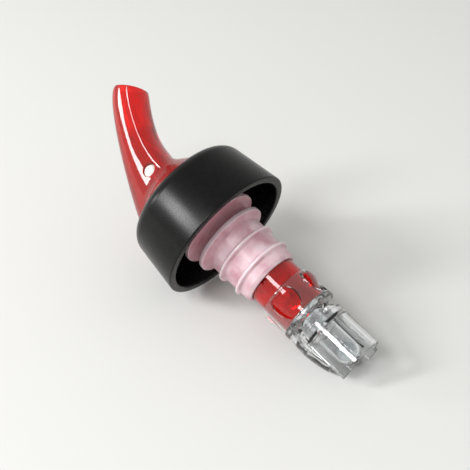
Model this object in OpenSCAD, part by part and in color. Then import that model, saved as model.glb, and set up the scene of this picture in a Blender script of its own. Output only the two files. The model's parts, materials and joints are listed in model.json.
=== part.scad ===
// Measured liquor pourer with three balls.
// Z runs along the pourer's axis, up through the spout, and the spout bends towards +X.
// The origin is on the axis, in the plane where the stopper's flange rests on the bottle's lip.
// Sizes are in millimetres.

/* [Collar] */
// Diameter of the collar at its open rim
collar_d = 38; // [36:0.5:48]
// Diameter of the collar where its rounded shoulder meets the skirt
shoulder_d = 34.6; // [32:0.1:36]
// Height of the collar from its top to its rim
collar_h = 16.5; // [12:0.5:24]
// Radius of the collar's rounded shoulder
shoulder_r = 3.8; // [2:0.1:5]
// Thickness of the collar's skirt
skirt_t = 2; // [1.2:0.1:2.4]
// Thickness of the collar's top
collar_top_t = 1.9; // [1.2:0.1:3]

/* [Stopper] */
// Thickness of the flange that rests on the bottle's lip
lip_flange_t = 1.6; // [1:0.1:3]
// Gap between the flange and the collar's skirt
lip_flange_gap = 0.5; // [0.3:0.1:3]
// Wall of the stopper's body under the flange
body_top_t = 1.95; // [1.2:0.05:3]
// Wall of the stopper's body at its lower end
body_end_t = 1.05; // [0.8:0.05:2]
// Diameter of the two long fins
long_fin_d = 21.6; // [19:0.1:26]
// Diameter of the third fin
short_fin_d = 20; // [18.5:0.1:24]
// Width of a fin's round land
fin_land = 1; // [0.6:0.1:1.4]
// Depth below the lip of the first fin
fin_depth = 5.6; // [3:0.1:8]
// Distance from one fin to the next
fin_pitch = 4.2; // [3.4:0.1:6]
// Distance from the third fin to the upper rib
rib_gap = 5.6; // [4:0.1:8]
// Distance from the upper rib to the lower rib
low_rib_gap = 5.4; // [3:0.1:8]
// Length of the stopper below the lower rib
stopper_tail = 3.8; // [2.6:0.1:8]
// Height of the upper rib
rib_h = 0.9; // [0.4:0.05:1.4]
// Height of the lower rib
low_rib_h = 0.8; // [0.4:0.05:1.4]

/* [Metering tube] */
// Play of the shutoff ball in the tube, across
shutoff_play = 0.475; // [0.3:0.025:1]
// Wall of the metering tube
tube_t = 1.5; // [1:0.1:2.4]
// Length of tube between the stopper and the sleeve
tube_bare = 4.4; // [3.6:0.1:12]
// Depth of the shutoff ball's top seat below the collar's top
top_seat_depth = 1.5; // [1:0.1:3]
// Diameter of the two inlet ports under the stopper
inlet_d = 3.2; // [2:0.1:3.9]
// Width and depth of the air groove along the tube
groove_d = 1.6; // [1:0.1:2]

/* [Spout] */
// Height of the mouth's centre above the collar
spout_h = 30.7; // [26:0.1:40]
// Reach of the mouth's centre from the axis
mouth_x = 10.2; // [8:0.1:13]
// Lean of the mouth's face from level, in degrees
mouth_lean = 57; // [50:1:60]
// Wall of the spout at its mouth
mouth_t = 1.1; // [0.7:0.05:1.4]
// Diameter of the wide bore behind the mouth
mouth_id = 7; // [5:0.1:8.4]
// Diameter of the narrow outlet between the ball's seat and the wide bore
outlet_d = 4; // [3:0.1:4.8]
// Width of the spout across its flanks at the foot
foot_w = 18.6; // [16:0.2:23]
// Reach of the spout's back edge behind the axis, at the foot
foot_back = 14; // [12.6:0.1:14.4]
// Reach of the spout's front edge ahead of the axis, at the foot
foot_front = 4.6; // [4.2:0.1:5.6]
// Diameter of the thin round foot on the collar
foot_d = 25.2; // [22:0.2:26]
// Thickness of the thin round foot
foot_t = 0.8; // [0.6:0.1:1.2]

/* [Vent] */
// Place of the vent hole along the spout, from 0 at the foot to 1 at the mouth
vent_run = 0.27; // [0.2:0.01:0.3]
// Place of the vent hole round the spout, in degrees from the front edge
vent_round = 103; // [92:1:110]
// Upward tilt of the vent pocket, in degrees
vent_tilt = 16; // [10:1:20]
// Thickness of the lip that keeps the vent ball in
vent_lip_t = 0.6; // [0.5:0.05:0.8]
// How much smaller the vent hole is than the vent ball, across
vent_hold = 0.27; // [0.2:0.01:0.6]
// Play of the vent ball in its pocket, across
vent_play = 0.3; // [0.2:0.05:0.6]
// Travel of the vent ball
vent_travel = 0.4; // [0.3:0.1:1]

/* [Balls] */
// Diameter of the shutoff ball
shutoff_d = 9.525; // [7.9:0.005:11.5]
// Diameter of the timing ball
timing_d = 4.7625; // [3.9:0.0125:5.8]
// Diameter of the vent ball
vent_ball_d = 3.96875; // [3.1:0.00625:4.8]

/* [Snap sleeve] */
// Wall of the sleeve
sleeve_t = 0.75; // [0.6:0.05:1.2]
// Height of the sleeve above the tube's end
sleeve_h = 7.6; // [6:0.1:10]
// How far the band stands out from the sleeve
band_proud = 0.2; // [0:0.05:0.8]
// Thickness of the band
band_t = 1.4; // [1:0.1:2]
// Height of the neck between the band and the cage
neck_h = 1.3; // [1:0.1:2]
// How far the neck and the spigot each step in
neck_step = 1.1; // [0.6:0.1:1.4]
// Length of the spigot that plugs into the cage
spigot_l = 2.4; // [2:0.1:3]
// Diameter of the reset port under the shutoff ball
reset_port_d = 3.2; // [2.4:0.1:3.9]
// Diameter of the bleed hole that sets the measure
bleed_d = 0.8; // [0.5:0.05:1]
// Number of arched windows
window_count = 4; // [3:1:4]
// Width of a window at its widest
window_w = 6.8; // [5:0.1:8.2]
// Height of a full arch, before it is cut level
window_h = 10; // [8:0.1:12]
// Height of the ring left above the windows
hoop_h = 1; // [0.6:0.1:1.6]
// Direction of the first window from +X, in degrees
window_turn = -100; // [-140:1:-60]
// How far a catch stands out from the sleeve
catch_proud = 0.3; // [0:0.05:0.6]
// Height of a catch
catch_h = 5; // [3:0.1:6]
// Gap at each side between a catch and the widest part of its window
catch_gap = 1.2; // [0.8:0.1:2]

/* [Ball cage] */
// Outer diameter of the cage
cage_d = 13.2; // [12:0.1:16]
// Thickness of the cage's outer wall
cage_wall = 1.2; // [0.9:0.1:1.4]
// Thickness of the cage's head under the spigot
cage_head_t = 1.1; // [0.8:0.1:2]
// Length of the cage's wall past the chamber's end
cage_past = 0.5; // [0:0.1:3]
// Length of the two teeth past the cage's wall
tooth_l = 0.6; // [0.2:0.1:1.2]
// Play of the timing ball in its chamber, across
timing_play = 0.4375; // [0.3:0.0125:0.8]
// Wall thickness of the timing ball's chamber
chamber_wall = 0.9; // [0.7:0.05:1]
// Depth of the timing ball's chamber, from the head to its round end
chamber_l = 9; // [7.4:0.1:11]
// Diameter of the hole in the chamber's round end
drain_d = 1.8; // [1:0.1:2.4]
// How far the side wing bulges past the cage's wall
wing_proud = 1.1; // [0.6:0.1:1.4]

/* [Hidden] */
$fn = 96;

// Radial clearance of the pieces that are pushed over the tube
slip = 0.05;
// Clearance between a ball and the seat it lies on
seat_gap = 0.05;
// Overlap of a cutting shape past the face it cuts
cut = 1;
// Overlap of two shapes that are joined in one moulding
join = 0.4;

// Levels along the axis
collar_top_z = lip_flange_t + collar_top_t;
rim_z = collar_top_z - collar_h;
foot_z = collar_top_z + foot_t;
fin_z = [-fin_depth, -fin_depth - fin_pitch, -fin_depth - 2 * fin_pitch];
rib_z = fin_z[2] - rib_gap;
low_rib_z = rib_z - low_rib_gap;
stopper_end_z = low_rib_z - stopper_tail;
tube_end_z = stopper_end_z - tube_bare - sleeve_h;
band_z = tube_end_z - band_t;
neck_z = band_z - neck_h;
spigot_z = neck_z - spigot_l;
cage_head_z = spigot_z - cage_head_t;
chamber_end_z = cage_head_z - chamber_l;
cage_end_z = chamber_end_z - chamber_wall - cage_past;
tooth_end_z = cage_end_z - tooth_l;

// The collar's skirt widens towards the rim by this angle
skirt_slope = atan2(collar_d / 2 - shoulder_d / 2, collar_h - shoulder_r);
shoulder = [shoulder_d / 2 - shoulder_r / cos(skirt_slope), collar_top_z - shoulder_r];

// The tube, and the pieces that are pushed over it
bore_r = (shutoff_d + shutoff_play) / 2;
tube_r = bore_r + tube_t;
tube_hole_r = tube_r + slip;
body_top_r = tube_hole_r + body_top_t;
body_end_r = tube_hole_r + body_end_t;
sleeve_r = tube_hole_r + sleeve_t;
band_r = sleeve_r + band_proud;
catch_r = sleeve_r + catch_proud;
cage_r = cage_d / 2;
neck_r = cage_r - neck_step;
spigot_r = neck_r - neck_step;
groove_end = 0.8;
inlet_z = stopper_end_z - tube_bare / 2;
inlet_turns = [35, 125];

// Both seats of the shutoff ball are cones of 45 degrees, and its centre lies this far from a
// cone's point. It rests in the lower one
cone_reach = shutoff_d / 2 * sqrt(2);
top_seat_z = collar_top_z - top_seat_depth;
low_point_z = tube_end_z - bore_r;
shutoff_low_z = low_point_z + cone_reach + seat_gap;

// The timing ball rests in the round end of its chamber, under the reset port that it shuts
timing_r = timing_d / 2;
chamber_r = timing_r + timing_play / 2;
port_r = reset_port_d / 2;
timing_low_z = chamber_end_z + timing_r + seat_gap;

// The spout's outline in the plane of the bend, as a back edge and a front edge
mouth_r = mouth_id / 2 + mouth_t;
mouth_edge = [cos(mouth_lean), -sin(mouth_lean)] * mouth_r;
mouth_z = collar_top_z + spout_h;
mouth = [mouth_x, mouth_z];
loft_z = collar_top_z + foot_t / 2;
back_edge = [
    [-foot_back, loft_z],
    [-foot_back + 1, loft_z + 4.5],
    mouth - mouth_edge - [4.6, 0],
    mouth - mouth_edge
];
front_edge = [
    [foot_front, loft_z],
    [foot_front + 0.1, loft_z + 12.2],
    mouth + mouth_edge - [8.6, 11.4],
    mouth + mouth_edge
];
// Place of the flank's ridge between the back edge and the front edge, at the foot and the mouth
ridge_share = [0.87, 0.58];
flank_taper = 2.6;
loft_rings = 18;
loft_sides = 32;
cone_r = foot_d / 2 - 0.4;
cone_top_r = foot_front;

// The wide bore bends along an arc that leans from one angle at its inner end to another at the
// mouth, and the narrow outlet runs straight from the top seat into its inner end
outlet_r = outlet_d / 2;
wide_bore_lean = [14, 47.4];
wide_bore_drop = 12.8;
wide_bore_r = wide_bore_drop / (sin(wide_bore_lean[1]) - sin(wide_bore_lean[0]));
wide_bore_hub = [
    mouth_x + wide_bore_r * cos(wide_bore_lean[1]),
    0,
    mouth_z - wide_bore_r * sin(wide_bore_lean[1])
];
bore_step = wide_bore_hub + wide_bore_r * [-cos(wide_bore_lean[0]), 0, sin(wide_bore_lean[0])];

// Depths in the vent pocket. The vent ball stops against the inner edge of the vent hole
vent_ball_r = vent_ball_d / 2;
vent_r = vent_ball_r - vent_hold / 2;
vent_out = vent_lip_t + seat_gap + sqrt(pow(vent_ball_r, 2) - pow(vent_r, 2));
vent_in = vent_out + vent_travel;
vent_pocket_r = vent_ball_r + vent_play / 2;
vent_pocket_l = vent_in + vent_ball_r + seat_gap;
vent_mouth = loft_point(vent_run, -vent_round);
vent_turn = atan2(vent_mouth[1], vent_mouth[0]);
vent_axis = [0, -cos(vent_tilt), sin(vent_tilt)];

// A window is the overlap of two round cuts of this radius, set apart sideways
window_half = window_w / 2;
arch_r = (window_half + pow(window_h / 2, 2) / window_half) / 2;
arch_off = arch_r - window_half;
window_z = tube_end_z + sleeve_h / 2 + 0.5;
window_top_z = tube_end_z + sleeve_h - hoop_h;
window_sill_z = tube_end_z + 0.3;
catch_top_z = window_top_z - 0.2;
catch_w = 2 * asin((window_half - catch_gap) / catch_r);

// Turns from +X of the gaps in the cage's wall. All but the short leg's repeat after half a turn,
// and a tooth stands between the short leg and the end notch
cage_in_r = cage_r - cage_wall;
ball_slot = [-78, -52];
side_slot = [-152, -143];
short_leg = [-198, -137];
end_notch = [-107, -91];
end_band = 0.9;
short_leg_z = cage_end_z + 3.9;
wall_top_z = neck_z - 1.2;
side_slot_z = wall_top_z - 0.4;

// The wing stands on the short leg's side, from just under the sleeve's band to the leg's end
wing_turns = [-190, -138.5];
wing_top_z = band_z - 0.2;
wing_end_z = short_leg_z - 0.4;
wing_in_r = [cage_r - 0.3, cage_r - 0.8];
wing_in_z = [wall_top_z - 0.5, wall_top_z - 1.3];

function bezier(p, t) =
    pow(1 - t, 3) * p[0] + 3 * pow(1 - t, 2) * t * p[1] + 3 * (1 - t) * t * t * p[2] + pow(t, 3) * p[3];

// Points along an arc, from one angle to another
function arc(centre, r, from, to, steps) =
    [for (i = [0:steps]) let (a = from + (to - from) * i / steps) centre + r * [cos(a), sin(a)]];

// Radius of the collar's cavity at a level
function cavity_r(z) = shoulder_d / 2 + (shoulder[1] - z) * tan(skirt_slope) - skirt_t / cos(skirt_slope);

// Radius of the stopper's body at a level
function body_r(z) = body_top_r + (body_end_r - body_top_r) * z / stopper_end_z;

// Outline of a fin, from its root above to its root below
function fin_outline(z, r) = [
    [body_r(z + 1.2), z + 1.2],
    [r, z + fin_land / 2],
    [r, z - fin_land / 2],
    [body_r(z - 2), z - 2]
];

function rib_outline(z, h) = [
    [body_r(z + 1.2), z + 1.2],
    [body_r(z) + h, z + 0.5],
    [body_r(z) + h, z - 0.6],
    [body_r(z - 1.3), z - 1.3]
];

// A point of the spout's skin, a share of the way up and turned round from the front edge. Each
// ring is half an ellipse ahead of the ridge and half an ellipse behind it
function loft_point(t, a) =
    let (
        back = bezier(back_edge, t),
        front = bezier(front_edge, t),
        ridge = back + (front - back) * (ridge_share[0] + (ridge_share[1] - ridge_share[0]) * t),
        half_w = mouth_r + (foot_w / 2 - mouth_r) * pow(1 - t, flank_taper),
        p = ridge + (cos(a) > 0 ? front - ridge : ridge - back) * cos(a)
    )
    [p[0], half_w * sin(a), p[1]];

module spout_loft() {
    points = [for (k = [0:loft_rings], i = [0:loft_sides - 1])
        loft_point(k / loft_rings, 360 * i / loft_sides)];
    sides = [for (k = [0:loft_rings - 1], i = [0:loft_sides - 1])
        let (j = (i + 1) % loft_sides, low = k * loft_sides, high = low + loft_sides)
        each [[low + i, high + i, high + j], [low + i, high + j, low + j]]];
    foot = [for (i = [1:loft_sides - 2]) [0, i, i + 1]];
    last = loft_rings * loft_sides;
    face = [for (i = [1:loft_sides - 2]) [last, last + i + 1, last + i]];
    polyhedron(points, concat(sides, foot, face));
}

// A round bar from one point to another, used as a bore
module bar(p, q, r) {
    run = q - p;
    translate(p)
        rotate([0, acos(run[2] / norm(run)), atan2(run[1], run[0])])
            cylinder(h = norm(run), r = r);
}

// The wide bore, run on past the mouth
module wide_bore() {
    past_mouth = 14;
    translate(wide_bore_hub)
        rotate([90, 0, 0])
            rotate([0, 0, 180 - wide_bore_lean[1] - past_mouth])
                rotate_extrude(angle = wide_bore_lean[1] - wide_bore_lean[0] + past_mouth)
                    translate([wide_bore_r, 0])
                        circle(r = mouth_id / 2);
}

// A sector of a ring around the axis, between two turns and two levels
module sector(turns, r_in, r_out, z_low, z_high) {
    rotate([0, 0, turns[0]])
        rotate_extrude(angle = turns[1] - turns[0])
            translate([r_in, z_low])
                square([r_out - r_in, z_high - z_low]);
}

// Places a shape at a depth below the vent's mouth, with its Z along the vent pocket
module at_vent(depth) {
    translate(vent_mouth - depth * vent_axis)
        rotate([90 - vent_tilt, 0, 0])
            children();
}

module vent_pocket() {
    at_vent(vent_pocket_l)
        cylinder(h = vent_pocket_l - vent_lip_t, r = vent_pocket_r);
    at_vent(vent_pocket_l)
        cylinder(h = vent_pocket_l + cut, r = vent_r);
}

// The groove down the tube's outside, and the hole that joins it to the vent pocket
module air_way() {
    top = [tube_r * cos(vent_turn), tube_r * sin(vent_turn), collar_top_z];
    bar([top[0], top[1], stopper_end_z - groove_end], top + [0, 0, foot_t], groove_d / 2);
    bar(top, vent_mouth - vent_pocket_l * 0.55 * vent_axis, groove_d / 2 - slip);
}

module tube_catches() {
    for (i = [0:window_count - 1])
        rotate([0, 0, window_turn + 360 * i / window_count - catch_w / 2])
            rotate_extrude(angle = catch_w)
                polygon([
                    [tube_r - join, catch_top_z],
                    [catch_r, catch_top_z],
                    [catch_r, catch_top_z - catch_h / 3],
                    [tube_r - join, catch_top_z - catch_h]
                ]);
}

module spout_body() {
    color("#c8141c")
        difference() {
            union() {
                spout_loft();
                translate([0, 0, collar_top_z])
                    cylinder(h = foot_t, r = foot_d / 2);
                translate([0, 0, loft_z])
                    cylinder(h = cone_r - cone_top_r, r1 = cone_r, r2 = cone_top_r);
                translate([0, 0, tube_end_z])
                    cylinder(h = foot_z - tube_end_z, r = tube_r);
                tube_catches();
            }
            translate([0, 0, tube_end_z - cut])
                cylinder(h = top_seat_z - tube_end_z + cut, r = bore_r);
            translate([0, 0, top_seat_z])
                cylinder(h = bore_r - outlet_r, r1 = bore_r, r2 = outlet_r);
            bar([0, 0, top_seat_z], bore_step + [0.5, 0, 2], outlet_r);
            wide_bore();
            vent_pocket();
            air_way();
            for (turn = inlet_turns)
                rotate([0, 0, turn])
                    bar([0, 0, inlet_z], [tube_r + cut, 0, inlet_z], inlet_d / 2);
        }
}

module collar() {
    color("#161616")
        difference() {
            rotate_extrude()
                polygon([
                    [tube_hole_r, collar_top_z],
                    each arc(shoulder, shoulder_r, 90, skirt_slope, 12),
                    [collar_d / 2, rim_z],
                    [tube_hole_r, rim_z]
                ]);
            translate([0, 0, rim_z - cut])
                cylinder(
                    h = lip_flange_t - rim_z + cut,
                    r1 = cavity_r(rim_z - cut),
                    r2 = cavity_r(lip_flange_t)
                );
        }
}

module stopper() {
    lip_flange_r = cavity_r(lip_flange_t) - lip_flange_gap;
    color("#e8dfe2")
        rotate_extrude()
            polygon([
                [tube_hole_r, lip_flange_t],
                [lip_flange_r, lip_flange_t],
                [lip_flange_r, 0],
                [body_r(0), 0],
                each fin_outline(fin_z[0], long_fin_d / 2),
                each fin_outline(fin_z[1], long_fin_d / 2),
                each fin_outline(fin_z[2], short_fin_d / 2),
                each rib_outline(rib_z, rib_h),
                each rib_outline(low_rib_z, low_rib_h),
                [body_r(stopper_end_z + 0.9), stopper_end_z + 0.9],
                [body_end_r - 0.5, stopper_end_z],
                [tube_hole_r, stopper_end_z]
            ]);
}

module window() {
    intersection() {
        translate([0, arch_off, window_z])
            rotate([0, 90, 0])
                cylinder(h = band_r + cut, r = arch_r);
        translate([0, -arch_off, window_z])
            rotate([0, 90, 0])
                cylinder(h = band_r + cut, r = arch_r);
        translate([0, -window_w, window_sill_z])
            cube([band_r + cut, 2 * window_w, window_top_z - window_sill_z]);
    }
}

module snap_sleeve() {
    color("#dfe3e6")
        difference() {
            union() {
                translate([0, 0, tube_end_z])
                    cylinder(h = sleeve_h, r = sleeve_r);
                translate([0, 0, band_z])
                    cylinder(h = band_t, r = band_r);
                translate([0, 0, neck_z])
                    cylinder(h = neck_h, r = neck_r);
                translate([0, 0, spigot_z])
                    cylinder(h = spigot_l, r = spigot_r);
            }
            translate([0, 0, tube_end_z])
                cylinder(h = sleeve_h + cut, r = tube_hole_r);
            translate([0, 0, low_point_z + port_r])
                cylinder(h = bore_r - port_r, r1 = port_r, r2 = bore_r);
            translate([0, 0, spigot_z - cut])
                cylinder(h = low_point_z + port_r - spigot_z + cut, r = port_r);
            for (i = [0:window_count - 1])
                rotate([0, 0, window_turn + 360 * i / window_count])
                    window();
            bar([0, 0, band_z - neck_h / 2], [0, neck_r + cut, band_z - neck_h / 2], bleed_d / 2);
        }
}

module cage_gaps() {
    inside = cage_in_r - 0.2;
    past = cage_r + cut;
    below = tooth_end_z - cut;
    for (half = [0, 180])
        rotate([0, 0, half]) {
            sector(ball_slot, inside, past, cage_end_z + end_band, cage_head_z);
            sector(side_slot, inside, past, short_leg_z - cut, side_slot_z);
            sector(end_notch, inside, past, below, cage_end_z + end_band);
            sector([end_notch[1] - 1, short_leg[1] + 179], inside, past, below, cage_end_z);
        }
    sector(short_leg, inside, past, below, short_leg_z);
}

// The wing's outer face bulges like part of a wave
module side_wing() {
    rotate([0, 0, wing_turns[0]])
        rotate_extrude(angle = wing_turns[1] - wing_turns[0])
            polygon([
                [wing_in_r[0], wing_top_z],
                for (s = [0:0.125:1])
                    [cage_r + wing_proud * sin(40 + 140 * s), wing_top_z - s * (wing_top_z - wing_end_z)],
                [wing_in_r[1], wing_end_z],
                [wing_in_r[1], wing_in_z[1]],
                [wing_in_r[0], wing_in_z[0]]
            ]);
}

module ball_cage() {
    chamber_ball_z = chamber_end_z + chamber_r;
    chamber_out_r = chamber_r + chamber_wall;
    color("#dfe3e6")
        difference() {
            union() {
                difference() {
                    rotate_extrude()
                        polygon([
                            [0, neck_z],
                            [neck_r, neck_z],
                            [cage_r, wall_top_z],
                            [cage_r, tooth_end_z],
                            [cage_in_r, tooth_end_z],
                            [cage_in_r, cage_head_z],
                            [0, cage_head_z]
                        ]);
                    cage_gaps();
                }
                side_wing();
                translate([0, 0, chamber_ball_z])
                    cylinder(h = cage_head_z - chamber_ball_z + join, r = chamber_out_r);
                translate([0, 0, chamber_ball_z])
                    sphere(r = chamber_out_r);
            }
            translate([0, 0, spigot_z - 2 * slip])
                cylinder(h = spigot_l + 2 * slip + cut, r = spigot_r + slip);
            translate([0, 0, chamber_ball_z])
                cylinder(h = spigot_z - chamber_ball_z, r = chamber_r);
            translate([0, 0, chamber_ball_z])
                sphere(r = chamber_r);
            translate([0, 0, chamber_end_z - chamber_wall - cut])
                cylinder(h = chamber_wall + 2 * cut, r = drain_d / 2);
        }
}

module shutoff_ball() {
    color("#b9bcc0")
        translate([0, 0, shutoff_low_z])
            sphere(r = shutoff_d / 2);
}

module timing_ball() {
    color("#b9bcc0")
        translate([0, 0, timing_low_z])
            sphere(r = timing_r);
}

module vent_ball() {
    color("#f4f4f2")
        at_vent(vent_in)
            sphere(r = vent_ball_r);
}

spout_body();
collar();
stopper();
snap_sleeve();
ball_cage();
shutoff_ball();
timing_ball();
vent_ball();
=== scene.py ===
# A measured liquor pourer lying on its side, with its spout away from the camera and its cage
# towards it. Lengths are in millimetres and angles in degrees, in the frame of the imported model:
# the origin is in the plane of the bottle's lip, +Z runs up the pourer's axis through the spout,
# and the spout bends towards +X.
import json
import math

import bmesh
import bpy
from mathutils import Matrix, Vector

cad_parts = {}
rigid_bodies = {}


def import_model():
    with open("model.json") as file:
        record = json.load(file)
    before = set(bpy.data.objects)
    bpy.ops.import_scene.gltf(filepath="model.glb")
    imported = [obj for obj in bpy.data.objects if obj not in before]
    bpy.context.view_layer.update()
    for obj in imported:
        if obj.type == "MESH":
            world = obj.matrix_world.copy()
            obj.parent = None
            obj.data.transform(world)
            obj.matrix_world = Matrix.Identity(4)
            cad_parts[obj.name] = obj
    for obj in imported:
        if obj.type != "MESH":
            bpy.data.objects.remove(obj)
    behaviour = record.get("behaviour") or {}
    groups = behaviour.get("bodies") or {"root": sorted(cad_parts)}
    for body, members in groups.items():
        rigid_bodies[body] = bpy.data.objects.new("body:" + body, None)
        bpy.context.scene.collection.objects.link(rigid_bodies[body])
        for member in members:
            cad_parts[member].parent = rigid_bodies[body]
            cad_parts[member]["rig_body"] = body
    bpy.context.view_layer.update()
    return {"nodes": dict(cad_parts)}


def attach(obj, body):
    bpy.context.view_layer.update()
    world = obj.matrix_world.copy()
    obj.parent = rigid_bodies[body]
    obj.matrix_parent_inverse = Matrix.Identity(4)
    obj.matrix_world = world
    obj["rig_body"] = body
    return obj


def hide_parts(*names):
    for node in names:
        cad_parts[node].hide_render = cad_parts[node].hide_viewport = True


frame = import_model()
nodes = frame["nodes"]

MM = 0.001

# Levels along the axis, from the collar down
COLLAR_TOP = 3.5
COLLAR_RIM = -13.0
STOPPER_END = -28.8
PORT_LEVEL = -31
SLEEVE_TOP = -33.2
TUBE_END = -40.8
BAND_END = -42.2
NECK_END = -43.5
SPIGOT_END = -45.9
CAGE_HEAD = -47.0
SHORT_LEG = -53.5
CAGE_END = -57.4
TOOTH_END = -58.0

# Radii
BORE_R = 5.0
TUBE_R = 6.5
TUBE_HOLE_R = 6.55
OUTLET_R = 2.0
FOOT_R = 12.6
FIN_R = 10.8

# The tube's four catches and the sleeve's four windows stand in these directions
WINDOW_TURNS = [-100 + 90 * k for k in range(4)]


# ---------------------------------------------------------------- materials

# The colour sockets of a mix node are found by number, because it has others of the same name
MIX_SHARE, MIX_FIRST, MIX_SECOND, MIX_RESULT = 0, 6, 7, 2


def srgb(code):
    """A colour written as in a paint chart, turned to the linear light that shaders use."""
    parts = [int(code[i : i + 2], 16) / 255 for i in (1, 3, 5)]
    return [c / 12.92 if c <= 0.04045 else ((c + 0.055) / 1.055) ** 2.4 for c in parts] + [1.0]


def add(tree, kind, settings=None, links=None):
    """Adds a node. Settings are for its properties and inputs, links feed its inputs."""
    node = tree.nodes.new(kind)
    for key, value in (settings or {}).items():
        if isinstance(key, int) or key in node.inputs:
            node.inputs[key].default_value = value
        else:
            setattr(node, key, value)
    for key, source in (links or {}).items():
        tree.links.new(source, node.inputs[key])
    return node


def new_material(name):
    material = bpy.data.materials.new(name)
    material.use_nodes = True
    material.node_tree.nodes.clear()
    return material, material.node_tree


# Each band of the stopper's length begins at a level and holds crests of one radius
CREST_BANDS = ((STOPPER_END, 8.5), (-22.3, 8.8), (-16.8, 10.0), (-11.9, FIN_R))


def painted_stopper_glow(tree, place, hue):
    """Painted light: a rose tint near the red foot, painted as the collar's shade with red light
    from the tube glowing through it, and near white along the thin crests of fins and ribs, painted
    as light shining through them.
    """
    parts = add(tree, "ShaderNodeSeparateXYZ", links={"Vector": place})
    level = parts.outputs["Z"]
    # Painted shade with a red glow: the stopper turns rose towards the collar, as if red light from
    # the tube shone through it in the collar's shade
    painted_red_shade_share = add(
        tree,
        "ShaderNodeMapRange",
        {"From Min": -17.5 * MM, "From Max": -11.5 * MM, "To Max": 0.7},
        {"Value": level},
    )
    painted_red_shade = add(
        tree,
        "ShaderNodeMix",
        {"data_type": "RGBA", MIX_SECOND: srgb("#d98f9c")},
        {MIX_SHARE: painted_red_shade_share.outputs["Result"], MIX_FIRST: hue},
    )

    # How far a point lies inside the crests of its band, from its radius and the band's grey, which
    # says where the crest glow is painted
    flat = add(
        tree, "ShaderNodeCombineXYZ", links={"X": parts.outputs["X"], "Y": parts.outputs["Y"]}
    )
    radius = add(
        tree, "ShaderNodeVectorMath", {"operation": "LENGTH"}, {0: flat.outputs["Vector"]}
    )
    along = add(
        tree,
        "ShaderNodeMapRange",
        {"From Min": STOPPER_END * MM, "From Max": 0.0},
        {"Value": level},
    )
    crest_r = add(tree, "ShaderNodeValToRGB", links={"Fac": along.outputs["Result"]})
    crest_r.color_ramp.interpolation = "CONSTANT"
    stops = crest_r.color_ramp.elements
    for i, (z, r) in enumerate(CREST_BANDS):
        stop = stops[i] if i < len(stops) else stops.new(1.0)
        stop.position = 1 - z / STOPPER_END
        stop.color = (r / FIN_R, r / FIN_R, r / FIN_R, 1)
    depth = add(
        tree,
        "ShaderNodeMath",
        {"operation": "MULTIPLY_ADD", 1: -FIN_R * MM},
        {0: crest_r.outputs["Color"], 2: radius.outputs["Value"]},
    )
    painted_crest_glow_share = add(
        tree,
        "ShaderNodeMapRange",
        {"From Min": -0.22 * MM, "From Max": -0.04 * MM, "To Max": 0.55},
        {"Value": depth.outputs["Value"]},
    )
    # Painted highlight: the thin crests are painted near white, as if light shone through them
    painted_crest_glow = add(
        tree,
        "ShaderNodeMix",
        {"data_type": "RGBA", MIX_SECOND: srgb("#faf1f4")},
        {MIX_SHARE: painted_crest_glow_share.outputs["Result"], MIX_FIRST: painted_red_shade.outputs[MIX_RESULT]},
    )
    return painted_crest_glow.outputs[MIX_RESULT]


def moulded_plastic(
    name,
    colour,
    mottle,
    roughness,
    unevenness,
    ripple_mm,
    grain_mm,
    surface,
    inside=None,
    painted_light=None,
):
    """Injection moulded plastic: a slightly uneven gloss and a very shallow flow ripple."""
    material, tree = new_material(name)
    place = add(tree, "ShaderNodeTexCoord").outputs["Object"]
    ripple = add(
        tree,
        "ShaderNodeTexNoise",
        {"Scale": 1 / (grain_mm * MM), "Detail": 3.0, "Roughness": 0.55},
        {"Vector": place},
    )
    gloss = add(
        tree,
        "ShaderNodeMapRange",
        {
            "From Min": 0.3,
            "From Max": 0.7,
            "To Min": roughness - unevenness,
            "To Max": roughness + unevenness,
        },
        {"Value": ripple.outputs["Fac"]},
    )
    relief = add(
        tree,
        "ShaderNodeBump",
        {"Strength": 0.35, "Distance": ripple_mm * MM},
        {"Height": ripple.outputs["Fac"]},
    )
    # The mottle's clouds are five times as wide as the ripple's grain
    cloud = add(
        tree,
        "ShaderNodeTexNoise",
        {"Scale": 1 / (5 * grain_mm * MM), "Detail": 2.0},
        {"Vector": place},
    )
    patch = add(
        tree,
        "ShaderNodeMapRange",
        {"From Min": 0.36, "From Max": 0.64},
        {"Value": cloud.outputs["Fac"]},
    )
    tint = add(
        tree,
        "ShaderNodeMix",
        {"data_type": "RGBA", MIX_FIRST: srgb(colour), MIX_SECOND: srgb(mottle)},
        {MIX_SHARE: patch.outputs["Result"]},
    )
    hue = tint.outputs[MIX_RESULT]
    # A material may be given painted light and shade on top of its own colour
    if painted_light:
        hue = painted_light(tree, place, hue)
    shader = add(
        tree,
        "ShaderNodeBsdfPrincipled",
        surface,
        {
            "Base Color": hue,
            "Roughness": gloss.outputs["Result"],
            "Normal": relief.outputs["Normal"],
        },
    )
    output = add(tree, "ShaderNodeOutputMaterial", links={"Surface": shader.outputs["BSDF"]})
    if inside:
        deep, per_mm = inside
        settings = {"Color": srgb(deep), "Density": per_mm / MM}
        loss = add(tree, "ShaderNodeVolumeAbsorption", settings)
        tree.links.new(loss.outputs["Volume"], output.inputs["Volume"])
    return material


# Styrene acrylonitrile, polished mould: glossy, and its thick parts turn deep red
RED_CLEAR = moulded_plastic(
    "red_clear_san",
    colour="#ff2c24",
    mottle="#fb2820",
    roughness=0.03,
    unevenness=0.012,
    ripple_mm=0.004,
    grain_mm=1.6,
    surface={"IOR": 1.57, "Transmission Weight": 0.8, "Specular IOR Level": 0.4},
    inside=("#f01c18", 0.9),
)
# Polypropylene, evenly blasted mould: a black satin skin with a soft sheen
BLACK_SATIN = moulded_plastic(
    "black_satin_polypropylene",
    colour="#070707",
    mottle="#0b0b0b",
    roughness=0.27,
    unevenness=0.02,
    ripple_mm=0.004,
    grain_mm=0.35,
    surface={"IOR": 1.49, "Specular IOR Level": 0.22},
)
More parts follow.
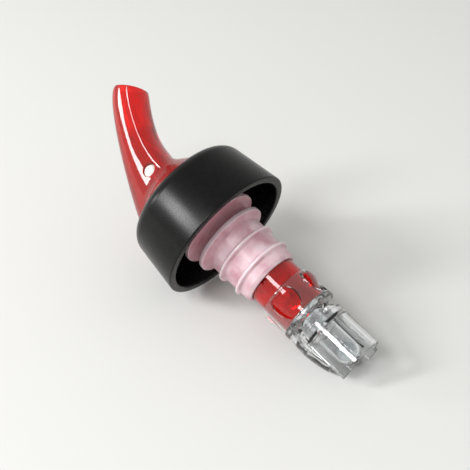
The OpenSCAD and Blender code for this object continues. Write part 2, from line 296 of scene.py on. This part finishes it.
# Low density polyethylene, moulded: milky, soft and waxy. Part of its pink tint is painted red glow
# from the tube inside it, and its rose and near white tones by place are painted light
MILKY_SOFT = moulded_plastic(
    "milky_soft_polyethylene",
    colour="#f3d9e0",
    mottle="#d3a1ae",
    roughness=0.34,
    unevenness=0.05,
    ripple_mm=0.012,
    grain_mm=0.9,
    surface={
        "IOR": 1.51,
        "Transmission Weight": 0.22,
        "Subsurface Weight": 0.8,
        "Subsurface Radius": (1.0, 0.62, 0.68),
        "Subsurface Scale": 0.7 * MM,
    },
    painted_light=painted_stopper_glow,
)
# General purpose polystyrene, polished mould: glassy, and it bends what lies behind it
CLEAR = moulded_plastic(
    "clear_polystyrene",
    colour="#fbfcfd",
    mottle="#f6f8f9",
    roughness=0.03,
    unevenness=0.012,
    ripple_mm=0.004,
    grain_mm=1.6,
    surface={"IOR": 1.59, "Transmission Weight": 1.0},
)
# Acetal, moulded and tumbled: an opaque white bead with a dull shine
WHITE_BALL = moulded_plastic(
    "white_acetal",
    colour="#f6f5f1",
    mottle="#f0efe9",
    roughness=0.28,
    unevenness=0.05,
    ripple_mm=0.004,
    grain_mm=0.4,
    surface={"IOR": 1.48, "Subsurface Weight": 0.15, "Subsurface Scale": 1.0 * MM},
)


def ball_steel():
    """Chrome steel, lapped: a mirror skin with a haze of marks, drawn coarse enough to show."""
    material, tree = new_material("lapped_chrome_steel")
    place = add(tree, "ShaderNodeTexCoord").outputs["Object"]
    marks = add(tree, "ShaderNodeTexNoise", {"Scale": 2.6 / MM, "Detail": 4.0}, {"Vector": place})
    haze = add(
        tree,
        "ShaderNodeMapRange",
        {"From Min": 0.35, "From Max": 0.65, "To Min": 0.05, "To Max": 0.11},
        {"Value": marks.outputs["Fac"]},
    )
    relief = add(
        tree,
        "ShaderNodeBump",
        {"Strength": 0.15, "Distance": 0.004 * MM},
        {"Height": marks.outputs["Fac"]},
    )
    shader = add(
        tree,
        "ShaderNodeBsdfPrincipled",
        {"Base Color": srgb("#cfd1d4"), "Metallic": 1.0},
        {"Roughness": haze.outputs["Result"], "Normal": relief.outputs["Normal"]},
    )
    add(tree, "ShaderNodeOutputMaterial", links={"Surface": shader.outputs["BSDF"]})
    return material


STEEL = ball_steel()


# ---------------------------------------------------------------- mesh helpers

# Points closer than this are one point
SAME_POINT = 1e-4
BEVEL_FROM = 40


def finish_piece(name, bm, material, body, stands_for, sharp=35, edge=None):
    """Turns a bmesh into a piece that rides on a body and stands for its CAD nodes."""
    bmesh.ops.scale(bm, vec=(MM, MM, MM), verts=bm.verts)
    mesh = bpy.data.meshes.new(name)
    bm.to_mesh(mesh)
    bm.free()
    mesh.materials.clear()
    mesh.materials.append(material)
    mesh.polygons.foreach_set("material_index", [0] * len(mesh.polygons))
    mesh.shade_smooth()
    mesh.set_sharp_from_angle(angle=math.radians(sharp))
    piece = bpy.data.objects.new(name, mesh)
    bpy.context.scene.collection.objects.link(piece)
    if edge:
        bevel = piece.modifiers.new("moulded_edge", "BEVEL")
        bevel.width, bevel.segments = edge * MM, 2
        bevel.limit_method, bevel.angle_limit = "ANGLE", math.radians(BEVEL_FROM)
        bevel.harden_normals = False
    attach(piece, body)
    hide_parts(*stands_for)
    return piece


def evenly(first, last, count):
    """Values at even steps from the first to the last."""
    return [first + (last - first) * k / (count - 1) for k in range(count)]


def clean(bm):
    bmesh.ops.remove_doubles(bm, verts=bm.verts, dist=SAME_POINT)
    bmesh.ops.recalc_face_normals(bm, faces=bm.faces)
    return bm


def lathe(profile, steps=128):
    """A profile of (radius, level) points, spun once around the axis."""
    bm = bmesh.new()
    ring = [bm.verts.new((r, 0, z)) for r, z in profile]
    edges = [bm.edges.new((a, b)) for a, b in zip(ring, ring[1:])]
    if profile[0][0] > 0 or profile[-1][0] > 0:
        edges.append(bm.edges.new((ring[-1], ring[0])))
    bmesh.ops.spin(
        bm,
        geom=ring + edges,
        cent=(0, 0, 0),
        axis=(0, 0, 1),
        angle=2 * math.pi,
        steps=steps,
        use_merge=True,
    )
    return clean(bm)


def rounded(corners, segments=4):
    """A profile whose corners, each (radius, level, fillet), are rounded by their fillets."""
    points = []
    count = len(corners)
    for i, (r, z, fillet) in enumerate(corners):
        here = Vector((r, z))
        if not fillet:
            points.append(tuple(here))
            continue
        to_last = (Vector(corners[i - 1][:2]) - here).normalized()
        to_next = (Vector(corners[(i + 1) % count][:2]) - here).normalized()
        half = to_last.angle(to_next) / 2
        reach = fillet / math.tan(half)
        centre = here + (to_last + to_next).normalized() * fillet / math.sin(half)
        start = here + to_last * reach - centre
        turn = start.angle_signed(here + to_next * reach - centre)
        for k in range(segments + 1):
            arm = start.copy()
            arm.rotate(Matrix.Rotation(-turn * k / segments, 2))
            points.append(tuple(centre + arm))
    return points


def as_object(bm, name):
    mesh = bpy.data.meshes.new(name)
    bm.to_mesh(mesh)
    bm.free()
    piece = bpy.data.objects.new(name, mesh)
    bpy.context.scene.collection.objects.link(piece)
    return piece


def carve(bm, others, operation="DIFFERENCE"):
    """Takes the other shapes from a shape one by one, or joins them to it."""
    body = as_object(bm, "blank")
    for other in others:
        tool = as_object(other, "tool")
        step = body.modifiers.new("carve", "BOOLEAN")
        step.operation = operation
        step.solver = "EXACT"
        step.object = tool
        bpy.context.view_layer.update()
        shaped = body.evaluated_get(bpy.context.evaluated_depsgraph_get())
        ready = bpy.data.meshes.new_from_object(shaped)
        body.modifiers.remove(step)
        body.data = ready
        bpy.data.objects.remove(tool)
    out = bmesh.new()
    out.from_mesh(body.data)
    bpy.data.objects.remove(body)
    return out


def joined(shapes):
    return carve(shapes[0], shapes[1:], "UNION")


def rod(start, end, radius, sides=48):
    """A round rod between two points."""
    start, end = Vector(start), Vector(end)
    bm = bmesh.new()
    bmesh.ops.create_cone(
        bm,
        cap_ends=True,
        segments=sides,
        radius1=radius,
        radius2=radius,
        depth=(end - start).length,
    )
    turn = (end - start).to_track_quat("Z", "Y").to_matrix().to_4x4()
    bmesh.ops.transform(bm, matrix=Matrix.Translation((start + end) / 2) @ turn, verts=bm.verts)
    return bm


def sector(first, last, outline, steps=16):
    """An outline of (radius, level) points, swept around the axis from one direction to another."""
    bm = bmesh.new()
    face = bm.faces.new([bm.verts.new((r, 0, z)) for r, z in outline])
    bmesh.ops.rotate(bm, matrix=Matrix.Rotation(math.radians(first), 3, "Z"), verts=bm.verts)
    bmesh.ops.spin(
        bm,
        geom=[face],
        cent=(0, 0, 0),
        axis=(0, 0, 1),
        angle=math.radians(last - first),
        steps=steps,
        use_merge=False,
    )
    return clean(bm)


# ---------------------------------------------------------------- spout and metering tube

# The outline in the plane of the spout's bend: (x, z) poles of the back edge's and the front
# edge's curves, from the foot to the mouth
BACK_EDGE = [Vector(p) for p in ((-14.0, 3.9), (-13.0, 8.4), (3.095, 38.058), (7.695, 38.058))]
FRONT_EDGE = [Vector(p) for p in ((4.6, 3.9), (4.7, 16.1), (4.105, 18.942), (12.705, 30.342))]
# Each flank's ridge, as a share of the way from the back edge to the front edge
FOOT_RIDGE, RIDGE_DRIFT = 0.87, 0.29
# Half the spout's width at the mouth, what the foot adds to it, and how soon that fades
MOUTH_HALF, FOOT_ADDS, FADE = 4.6, 4.7, 2.6
# The parting line that the mould leaves along each ridge
PARTING_HALF, PARTING_RISE = 0.2, 0.13

# The foot is a flat round plate with a 45 degree flare above it
PLATE_TOP = COLLAR_TOP + 0.8
FLARE_TIP = FOOT_R + COLLAR_TOP
FLARE_FILLET, PLATE_FILLET, FOOT_FILLET = 1.4, 0.6, 1.0
SEAT = COLLAR_TOP + 0.03
PLATE_EDGE_ROUND, PLATE_EDGE_HALF = 0.3, 0.385

# The wide bore bends round this centre. Its lean from the axis grows from inside to the mouth
BORE_HUB = Vector((27.73, 0, 15.13))
BORE_SWEEP = 25.9
INNER_LEAN, FUNNEL_LEAN, MOUTH_LEAN = 14.0, 21.0, 47.4
FACE_LEAN = 57.0
MOUTH_BORE_R = 3.5
# The bore starts this many degrees inside the mouth's rim
RIM_DEPTH = 3
# The rim has small round edges: shares of the wall, and heights above the wall's edges
LIP = ((0, -0.16), (0.03, -0.06), (0.1, 0), (0.5, 0.02), (0.9, 0), (0.97, -0.06), (1, -0.16))

# The narrow outlet ends a little off the axis above the seat that the large ball closes
TOP_SEAT = 2.0
OUTLET_FOOT, OUTLET_LEAN = Vector((0.35, 0, TOP_SEAT + 3.3)), 4
SEAT_CONE = ((OUTLET_R + 0.15, TOP_SEAT + 2.85), (BORE_R - 0.3, TOP_SEAT + 0.3))
OUTER_ROUND, INNER_ROUND = 0.18, 0.15

# The vent's middle on the skin, as a share of the spout and a turn, and the way out of it. Its
# pocket lies behind a lip, and an air hole leads from it to a groove down the tube
VENT_RUN, VENT_TURN = 0.27, -103
VENT_AXIS = Vector((0, -0.96126, 0.27564))
VENT_R, VENT_DEPTH, VENT_LIP = 1.85, 4.1, 0.6
POCKET_R, POCKET_DEPTH = 2.13, 4.2
AIR_HOLE_R, AIR_HOLE_FROM, AIR_HOLE_DEPTH = 0.74, 3.6, 2.3
AIR_GROOVE_R, AIR_GROOVE_TOP, AIR_GROOVE_END = 0.8, 4.3, STOPPER_END - 0.8
# The inlet ports of the metering tube
PORT_TURNS, PORT_R, PORT_REACH = (35, 125), 1.6, 8
# A catch has a flat top for the window's head, and a long slope that the sleeve rides over
CATCH_HALF = 16.8
CATCH_OUTLINE = ((6.1, -34.4), (7.6, -34.4), (7.6, -36.1), (6.1, -39.4))

# How many rings the moulding's surface has along the tube, the skin, the bore and the outlet
TUBE_RINGS, SKIN_RINGS, BORE_RINGS, OUTLET_RINGS = 23, 121, 33, 12
# How the skin's rings crowd towards the foot, and how far up they go before the rim takes over
CROWDING, SKIN_END = 1.25, 0.985
# How many points a ring has, and how they crowd along the flanks
AROUND, FLANK_CROWDING = 208, 0.3


def bezier(p, t):
    s = 1 - t
    return s**3 * p[0] + 3 * s**2 * t * p[1] + 3 * s * t * t * p[2] + t**3 * p[3]


def blend_up(a, b, fillet):
    """The larger of two lengths, with a fillet where they cross."""
    near = max(fillet - abs(a - b), 0) / fillet
    return max(a, b) + near * near * fillet / 4


def skin(run, turn):
    """A point of the bare skin. Ahead of the ridges and behind them it is half an ellipse."""
    back, front = bezier(BACK_EDGE, run), bezier(FRONT_EDGE, run)
    ridge = back.lerp(front, FOOT_RIDGE - RIDGE_DRIFT * run)
    reach = front - ridge if math.cos(turn) > 0 else ridge - back
    middle = ridge + reach * math.cos(turn)
    width = MOUTH_HALF + FOOT_ADDS * (1 - run) ** FADE
    off_ridge = math.cos(turn) * width / PARTING_HALF
    width += PARTING_RISE * math.exp(-off_ridge * off_ridge)
    return Vector((middle.x, width * math.sin(turn), middle.y))


def outer_skin(run, turn):
    """The skin, with the flare and the plate of the foot blended in."""
    p = skin(run, turn)
    reach = math.hypot(p.x, p.y)
    wide = blend_up(reach, FLARE_TIP - p.z, FLARE_FILLET) / reach
    return Vector((p.x * wide, p.y * wide, blend_up(p.z, PLATE_TOP, PLATE_FILLET)))


def foot_edge(turn, inset, level):
    p = skin(0, turn)
    reach = math.hypot(p.x, p.y)
    wide = (blend_up(reach, FOOT_R, FOOT_FILLET) - inset) / reach
    return Vector((p.x * wide, p.y * wide, level))


def level_ring(radius, level):
    return lambda turn: Vector((radius * math.cos(turn), radius * math.sin(turn), level))


def leaning_ring(centre, lean, radius):
    tip = Vector((math.cos(math.radians(lean)), 0, -math.sin(math.radians(lean))))
    side = Vector((0, 1, 0))
    return lambda turn: centre + radius * (math.cos(turn) * tip + math.sin(turn) * side)


def bore_centre(lean):
    arm = Vector((-math.cos(math.radians(lean)), 0, math.sin(math.radians(lean))))
    return BORE_HUB + BORE_SWEEP * arm


def lip_ring(share, height):
    """A ring of the mouth's rim, at a share of the wall from the skin to the bore."""
    out = Vector((math.sin(math.radians(FACE_LEAN)), 0, math.cos(math.radians(FACE_LEAN))))
    inner = leaning_ring(bore_centre(MOUTH_LEAN), FACE_LEAN, MOUTH_BORE_R)
    return lambda turn: skin(1, turn).lerp(inner(turn), share) + out * height


def spout_rings():
    """The rings of one closed surface: up the outside, over the mouth and down the inside."""
    quarter = [math.radians(a) for a in evenly(0, 90, 4)]
    # The tube's rounded end, its outside, and the foot's underside, edge, flare and skin
    rings = [
        level_ring(
            TUBE_R - OUTER_ROUND + OUTER_ROUND * math.sin(a),
            TUBE_END + OUTER_ROUND - OUTER_ROUND * math.cos(a),
        )
        for a in quarter
    ]
    rings += [level_ring(TUBE_R, z) for z in evenly(TUBE_END + 1, 2.9, TUBE_RINGS)]
    rings.append(level_ring(TUBE_R, SEAT))
    rings += [lambda turn, inset=inset: foot_edge(turn, inset, SEAT) for inset in (4.0, 2.0, 0.5)]
    for a in (math.radians(a) for a in evenly(0, 180, 7)):
        inset = PLATE_EDGE_ROUND - PLATE_EDGE_ROUND * math.sin(a)
        level = SEAT + PLATE_EDGE_HALF - PLATE_EDGE_HALF * math.cos(a)
        rings.append(lambda turn, inset=inset, level=level: foot_edge(turn, inset, level))
    for share in evenly(0, 1, SKIN_RINGS):
        rings.append(lambda turn, run=share**CROWDING * SKIN_END: outer_skin(run, turn))
    rings += [lip_ring(share, height) for share, height in LIP]

    # The wide bore with its funnel, the narrow outlet, the top seat and the tube's bore
    for lean in evenly(MOUTH_LEAN - RIM_DEPTH, INNER_LEAN, BORE_RINGS):
        narrow = max(0, min(1, (FUNNEL_LEAN - lean) / (FUNNEL_LEAN - INNER_LEAN)))
        radius = MOUTH_BORE_R - (MOUTH_BORE_R - OUTLET_R) * narrow * narrow * (3 - 2 * narrow)
        rings.append(leaning_ring(bore_centre(lean), lean, radius))
    for share in evenly(0, 1, OUTLET_RINGS + 1)[1:]:
        lean = INNER_LEAN * (1 - share) + OUTLET_LEAN * share
        rings.append(leaning_ring(bore_centre(INNER_LEAN).lerp(OUTLET_FOOT, share), lean, OUTLET_R))
    rings += [level_ring(radius, level) for radius, level in SEAT_CONE]
    rings += [level_ring(BORE_R, z) for z in evenly(TOP_SEAT - 0.2, TUBE_END + 0.2, TUBE_RINGS)]
    rings += [
        level_ring(
            BORE_R + INNER_ROUND - INNER_ROUND * math.cos(a),
            TUBE_END + INNER_ROUND - INNER_ROUND * math.sin(a),
        )
        for a in quarter
    ]
    rings.append(rings[0])
    return rings


def bent_sheet(rings, around):
    """A flat grid whose rows are bent round to rings. Its columns crowd along the flanks."""
    bm = bmesh.new()
    last = len(rings) - 1
    bmesh.ops.create_grid(bm, x_segments=around, y_segments=last, size=1)
    for v in bm.verts:
        share, row = (v.co.x + 1) / 2, round((v.co.y + 1) / 2 * last)
        turn = 2 * math.pi * share + FLANK_CROWDING * math.sin(4 * math.pi * share)
        v.co = rings[row](turn)
    return clean(bm)


def spout_moulding():
    """The red moulding: the bent sheet with the catches added, and the ports and air way cut."""
    vent = skin(VENT_RUN, math.radians(VENT_TURN))
    vent_side = math.atan2(vent.y, vent.x)

    def on_groove(level):
        return Vector((TUBE_R * math.cos(vent_side), TUBE_R * math.sin(vent_side), level))

    pocket = rod(vent - POCKET_DEPTH * VENT_AXIS, vent - VENT_LIP * VENT_AXIS, POCKET_R, 64)
    hole = rod(vent - VENT_DEPTH * VENT_AXIS, vent + VENT_AXIS, VENT_R, 64)
    air_groove = rod(on_groove(AIR_GROOVE_END), on_groove(AIR_GROOVE_TOP), AIR_GROOVE_R)
    air_hole = rod(on_groove(AIR_HOLE_FROM), vent - AIR_HOLE_DEPTH * VENT_AXIS, AIR_HOLE_R)
    air_way = joined([pocket, hole, air_groove, air_hole])

    ports = []
    for turn in (math.radians(t) for t in PORT_TURNS):
        outside = (PORT_REACH * math.cos(turn), PORT_REACH * math.sin(turn), PORT_LEVEL)
        ports.append(rod((0, 0, PORT_LEVEL), outside, PORT_R))

    catches = [sector(turn - CATCH_HALF, turn + CATCH_HALF, CATCH_OUTLINE) for turn in WINDOW_TURNS]
    body = carve(bent_sheet(spout_rings(), AROUND), catches, "UNION")
    return carve(body, [air_way] + ports)


finish_piece(
    "bent_spout",
    spout_moulding(),
    RED_CLEAR,
    "pourer",
    ["spout_body"],
    sharp=28,
)

# ---------------------------------------------------------------- collar

# The drafted skirt hangs from a flat ceiling, and the tube passes through the hole in the top.
# Corners here and below are (radius, level, fillet)
COLLAR_HOLE_R = 6.6
CEILING = 1.6
COLLAR_CORNERS = [
    (COLLAR_HOLE_R, COLLAR_TOP, 0.2),
    (17.0, COLLAR_TOP, 3.6),
    (19.0, COLLAR_RIM, 0.35),
    (16.98, COLLAR_RIM, 0.35),
    (15.05, CEILING, 0.6),
    (COLLAR_HOLE_R, CEILING, 0.2),
]
collar = lathe(rounded(COLLAR_CORNERS, segments=10))
finish_piece("collar_cap", collar, BLACK_SATIN, "pourer", ["collar"])

# ---------------------------------------------------------------- stopper

STOPPER_HOLE_R = 6.56
FLANGE_TOP, FLANGE_R = 1.57, 14.5
WALL_R, WALL_TAPER = 8.5, 0.9
CHAMFER_LEVEL, END_R = -27.9, 7.1
# Levels and radii of the fins and the ribs
FINS = ((-5.6, FIN_R), (-9.8, FIN_R), (-14.0, 10.0))
RIBS = ((-19.6, 8.8), (-25.0, 8.5))
# From a crest's level up to its upper root, up and down to its land's edges, and down to its
# lower root, with the fillets of these four corners. A fin's root reaches further down than up
FIN_STEPS, FIN_FILLETS = (1, 0.5, -0.5, -1.5), (0.4, 0.13, 0.13, 0.5)
RIB_STEPS, RIB_FILLETS = (0.75, 0.27, -0.27, -0.75), (0.3, 0.1, 0.1, 0.3)


def stopper_wall(level):
    return WALL_R - WALL_TAPER * level / STOPPER_END


def crest_corners(level, radius, steps, fillets):
    levels = [level + step for step in steps]
    radii = (stopper_wall(levels[0]), radius, radius, stopper_wall(levels[-1]))
    return list(zip(radii, levels, fillets))


def stopper_profile():
    """Half the stopper's section: its flange, three fins, two ribs and a tapered end."""
    corners = [(STOPPER_HOLE_R, FLANGE_TOP, 0.15), (FLANGE_R, FLANGE_TOP, 0.3), (FLANGE_R, 0, 0.3)]
    corners.append((stopper_wall(0), 0, 0.6))
    for level, radius in FINS:
        corners += crest_corners(level, radius, FIN_STEPS, FIN_FILLETS)
    for level, radius in RIBS:
        corners += crest_corners(level, radius, RIB_STEPS, RIB_FILLETS)
    corners.append((stopper_wall(CHAMFER_LEVEL), CHAMFER_LEVEL, 0.3))
    corners += [(END_R, STOPPER_END, 0.3), (STOPPER_HOLE_R, STOPPER_END, 0.1)]
    return rounded(corners, segments=5)


stopper = lathe(stopper_profile())
finish_piece("ribbed_stopper", stopper, MILKY_SOFT, "pourer", ["stopper"])

# ---------------------------------------------------------------- snap sleeve

# A window is the overlap of two round arcs whose centres stand off its middle
WINDOW_SILL, WINDOW_HEAD = -40.5, -33.7
ARC_R, ARC_LEVEL, ARC_OFFSET = 5.376, -36.5, 1.976
WINDOW_FROM_R, WINDOW_DEPTH = 5.6, 3.4
BLEED_LEVEL, BLEED_R = -42.85, 0.4

# The sleeve's section: the ring round the tube, the band, the neck, the spigot, and inside it
# the reset port and the low cone that the large ball rests in
RESET_PORT_R, SPIGOT_R = 1.6, 4.4
SLEEVE_R, BAND_R, NECK_R = 7.3, 7.5, 5.5
INNER_LEDGE = TUBE_END - 0.02
NECK_FOOT = NECK_END + 0.01
SLEEVE_CORNERS = [
    (TUBE_HOLE_R, SLEEVE_TOP, 0.15),
    (SLEEVE_R, SLEEVE_TOP, 0.3),
    (SLEEVE_R, TUBE_END, 0.1),
    (BAND_R, TUBE_END, 0.1),
    (BAND_R, BAND_END, 0.4),
    (NECK_R, BAND_END, 0.25),
    (NECK_R, NECK_FOOT, 0.1),
    (SPIGOT_R, NECK_FOOT, 0.15),
    (SPIGOT_R, SPIGOT_END, 0.2),
    (RESET_PORT_R, SPIGOT_END, 0.1),
    (RESET_PORT_R, -44.2, 0.1),
    (4.98, INNER_LEDGE, 0.05),
    (TUBE_HOLE_R, INNER_LEDGE, 0.1),
]


def window(turn):
    """The cut of one arched window, level at its head and its sill."""
    bm = bmesh.new()
    levels = evenly(WINDOW_SILL, WINDOW_HEAD, 17)
    halves = [math.sqrt(ARC_R**2 - (z - ARC_LEVEL) ** 2) - ARC_OFFSET for z in levels]
    right = list(zip(halves, levels))
    left = [(-y, z) for y, z in reversed(right)]
    face = bm.faces.new([bm.verts.new((WINDOW_FROM_R, y, z)) for y, z in right + left])
    push = bmesh.ops.extrude_face_region(bm, geom=[face])
    moved = [v for v in push["geom"] if isinstance(v, bmesh.types.BMVert)]
    bmesh.ops.translate(bm, vec=(WINDOW_DEPTH, 0, 0), verts=moved)
    bmesh.ops.rotate(bm, matrix=Matrix.Rotation(math.radians(turn), 3, "Z"), verts=bm.verts)
    bmesh.ops.recalc_face_normals(bm, faces=bm.faces)
    return bm


bleed_hole = rod((0, 0.5, BLEED_LEVEL), (0, 7, BLEED_LEVEL), BLEED_R, 24)
sleeve = lathe(rounded(SLEEVE_CORNERS), 160)
sleeve = carve(sleeve, [window(turn) for turn in WINDOW_TURNS] + [bleed_hole])
finish_piece(
    "windowed_sleeve", sleeve, CLEAR, "pourer", ["snap_sleeve"], edge=0.1
)

# ---------------------------------------------------------------- ball cage

CAGE_R, CAGE_INNER_R = 6.6, 5.4
# The chamber that the small ball moves in has a round end
CHAMBER_R, CHAMBER_INNER_R = 3.5, 2.6
CHAMBER_CENTRE = -53.4
SOCKET_R, DRAIN_R = 4.45, 0.9
# A cut reaches from inside the wall to outside it, and past the teeth
CUT_FROM_R, CUT_TO_R, BELOW = 5.2, 7.6, -59
# The gaps that repeat after half a turn: their two sides and their two levels
GAPS = (
    (-78, -52, CAGE_END + 0.9, CAGE_HEAD),
    (-152, -143, SHORT_LEG - 1, -45.1),
    (-107, -91, BELOW, CAGE_END + 0.9),
    (-92, 42, BELOW, CAGE_END),
)
# The wing on the short leg's side, and how far its bulge stands out
WING_SIDES, WING_TOP, WING_END = (-190, -138.5), -42.4, SHORT_LEG - 0.4
WING_BULGE = 1.1


def wall_cut(first, last, low, high, steps):
    outline = ((CUT_FROM_R, low), (CUT_TO_R, low), (CUT_TO_R, high), (CUT_FROM_R, high))
    return sector(first, last, outline, steps)


def cage_cuts():
    """The gaps in the cage's wall. The one below the short leg has no twin."""
    cuts = [wall_cut(-198, -137, BELOW, SHORT_LEG, 32)]
    for half in (0, 180):
        for first, last, low, high in GAPS:
            steps = (last - first) // 3 + 2
            cuts.append(wall_cut(half + first, half + last, low, high, steps))
    return cuts


def side_wing():
    """A wing on the short leg's side, whose outer face bulges like part of a wave."""
    bulge = [
        (CAGE_R + WING_BULGE * math.sin(math.radians(phase)), level)
        for phase, level in zip(evenly(40, 180, 17), evenly(WING_TOP, WING_END, 17))
    ]
    outline = [(6.3, WING_TOP), *bulge, (5.8, WING_END), (5.8, -46.0), (6.3, -45.2)]
    return sector(*WING_SIDES, outline, 32)


def dome(radius):
    """Points from the foot of the chamber's round end to its side."""
    angles = [math.radians(a) for a in evenly(0, 90, 16)]
    return [(radius * math.sin(a), CHAMBER_CENTRE - radius * math.cos(a)) for a in angles]


def ball_cage():
    wall_corners = [
        (0, NECK_END - 0.01, 0),
        (NECK_R, NECK_END - 0.01, 0.2),
        (CAGE_R, -44.7, 0.4),
        (CAGE_R, TOOTH_END, 0.15),
        (CAGE_INNER_R, TOOTH_END, 0.15),
        (CAGE_INNER_R, CAGE_HEAD, 0.4),
        (0, CAGE_HEAD, 0),
    ]
    wall = carve(lathe(rounded(wall_corners), 160), cage_cuts())
    chamber = lathe([*dome(CHAMBER_R), (CHAMBER_R, CAGE_HEAD + 0.4), (0, CAGE_HEAD + 0.4)], 96)
    # The room inside the chamber opens into the socket for the sleeve's spigot
    socket = [(CHAMBER_INNER_R, -46.5), (SOCKET_R, -46.0), (SOCKET_R, -43), (0, -43)]
    room = lathe([*dome(CHAMBER_INNER_R), *socket], 96)
    drain_hole = rod((0, 0, -55.5), (0, 0, -57.5), DRAIN_R, 32)
    return carve(joined([wall, side_wing(), chamber]), [room, drain_hole])


finish_piece(
    "slotted_cage", ball_cage(), CLEAR, "pourer", ["ball_cage"], edge=0.1
)

# ---------------------------------------------------------------- balls


def ball(node, name, material):
    """A smooth copy of a CAD ball: the same shape, with its loose triangles merged."""
    bm = bmesh.new()
    bm.from_mesh(nodes[node].data)
    bmesh.ops.remove_doubles(bm, verts=bm.verts, dist=SAME_POINT * MM)
    bmesh.ops.scale(bm, vec=(1 / MM, 1 / MM, 1 / MM), verts=bm.verts)
    finish_piece(name, bm, material, nodes[node]["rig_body"], [node], sharp=60)


ball("shutoff_ball", "large_steel_ball", STEEL)
ball("timing_ball", "small_steel_ball", STEEL)
ball("vent_ball", "white_vent_ball", WHITE_BALL)


# ---------------------------------------------------------------- floor, light and camera

# The way up for the pourer as it lies, and the floor's level that way, in the pourer's frame
UP = Vector((0.637, -0.707, 0.306)).normalized()
FLOOR_LEVEL = -22.07
FLOOR_HALF_M = 1.5

# The camera's place and its axes
CAMERA_PLACE = Vector((18.69, -198.64, -79.91))
RIGHT = Vector((0.67, 0.285, -0.686)).normalized()
FORWARD = Vector((-0.082, 0.946, 0.313)).normalized()
LIFT = RIGHT.cross(FORWARD).normalized()
# Its focal length and the frame's width in pixels, and the sensor's width
FOCAL_PIXELS, FRAME_PIXELS, SENSOR = 850, 470, 36

# The floor's directions away from the camera and to its right
AWAY = (FORWARD - UP * FORWARD.dot(UP)).normalized()
ASIDE = AWAY.cross(UP).normalized()
LAMP_DISTANCE = 800


def standing(place, x_axis, y_axis, z_axis):
    """The matrix of something that stands at a place, with its axes in these directions."""
    rows = [[x_axis[i], y_axis[i], z_axis[i], 0] for i in range(3)]
    return Matrix.Translation(place * MM) @ Matrix(rows + [[0, 0, 0, 1]])


def pale_floor(colour):
    """Plain pale matt floor. It has one side, so a view from below looks through it."""
    material, tree = new_material("pale_matt_floor")
    matt = add(tree, "ShaderNodeBsdfDiffuse", {"Color": srgb(colour)})
    below = add(tree, "ShaderNodeBsdfTransparent")
    side = add(tree, "ShaderNodeNewGeometry").outputs["Backfacing"]
    both = add(
        tree,
        "ShaderNodeMixShader",
        links={0: side, 1: matt.outputs["BSDF"], 2: below.outputs["BSDF"]},
    )
    add(tree, "ShaderNodeOutputMaterial", links={"Surface": both.outputs["Shader"]})
    return material


floor = bmesh.new()
bmesh.ops.create_grid(floor, x_segments=1, y_segments=1, size=FLOOR_HALF_M)
level_turn = UP.to_track_quat("Z", "Y").to_matrix().to_4x4()
bmesh.ops.transform(
    floor, matrix=Matrix.Translation(UP * FLOOR_LEVEL * MM) @ level_turn, verts=floor.verts
)
floor_object = as_object(floor, "floor")
floor_object.data.materials.append(pale_floor("#dededc"))

# A pale room all round, a little darker overhead
world = bpy.data.worlds.new("pale_studio")
world.use_nodes = True
tree = world.node_tree
tree.nodes.clear()
outward = add(tree, "ShaderNodeTexCoord").outputs["Generated"]
height = add(tree, "ShaderNodeVectorMath", {"operation": "DOT_PRODUCT", 1: UP}, {0: outward})
glow = add(
    tree, "ShaderNodeMapRange", {"To Min": 0.84, "To Max": 0.56}, {"Value": height.outputs["Value"]}
)
room = add(
    tree, "ShaderNodeBackground", {"Color": srgb("#f4f4f2")}, {"Strength": glow.outputs["Result"]}
)
add(tree, "ShaderNodeOutputWorld", links={"Surface": room.outputs["Background"]})
bpy.context.scene.world = world


def studio(elevation, azimuth):
    """A direction: degrees above the floor, and degrees clockwise from away from the camera."""
    high, around = math.radians(elevation), math.radians(azimuth)
    level = AWAY * math.cos(around) + ASIDE * math.sin(around)
    return UP * math.sin(high) + level * math.cos(high)


def softbox(name, toward, along, length, width, watts):
    """A soft rectangular lamp that faces the pourer, with its length along a direction."""
    light = bpy.data.lights.new(name, "AREA")
    light.shape = "RECTANGLE"
    light.size, light.size_y = length * MM, width * MM
    light.energy = watts
    lamp = bpy.data.objects.new(name, light)
    long_side = (along - toward * along.dot(toward)).normalized()
    lamp.matrix_world = standing(
        toward * LAMP_DISTANCE, long_side, toward.cross(long_side), toward
    )
    lamp.visible_camera = False
    bpy.context.scene.collection.objects.link(lamp)


# One lamp for the streak on the spout's left flank, one for the collar, one for the tube
softbox(
    "flank_strip",
    studio(16.5, -84.8),
    along=studio(20.5, -92) - studio(12.5, -77.5),
    length=236,
    width=108,
    watts=1.2,
)
softbox(
    "collar_box",
    studio(31.5, -107.6),
    along=studio(40, -107.6) - studio(23, -107.6),
    length=230,
    width=130,
    watts=3.4,
)
softbox(
    "front_strip",
    studio(48.5, -139.5),
    along=Vector((0, 0, 1)),
    length=280,
    width=210,
    watts=2.5,
)

camera_data = bpy.data.cameras.new("photo_camera")
camera_data.sensor_width = SENSOR
camera_data.lens = FOCAL_PIXELS / FRAME_PIXELS * SENSOR
camera_data.clip_start = 0.01
camera_data.clip_end = 10
camera = bpy.data.objects.new("photo_camera", camera_data)
camera.matrix_world = standing(CAMERA_PLACE, RIGHT, LIFT, -FORWARD)
bpy.context.scene.collection.objects.link(camera)
bpy.context.scene.camera = camera

bpy.context.scene.view_settings.view_transform = "Standard"
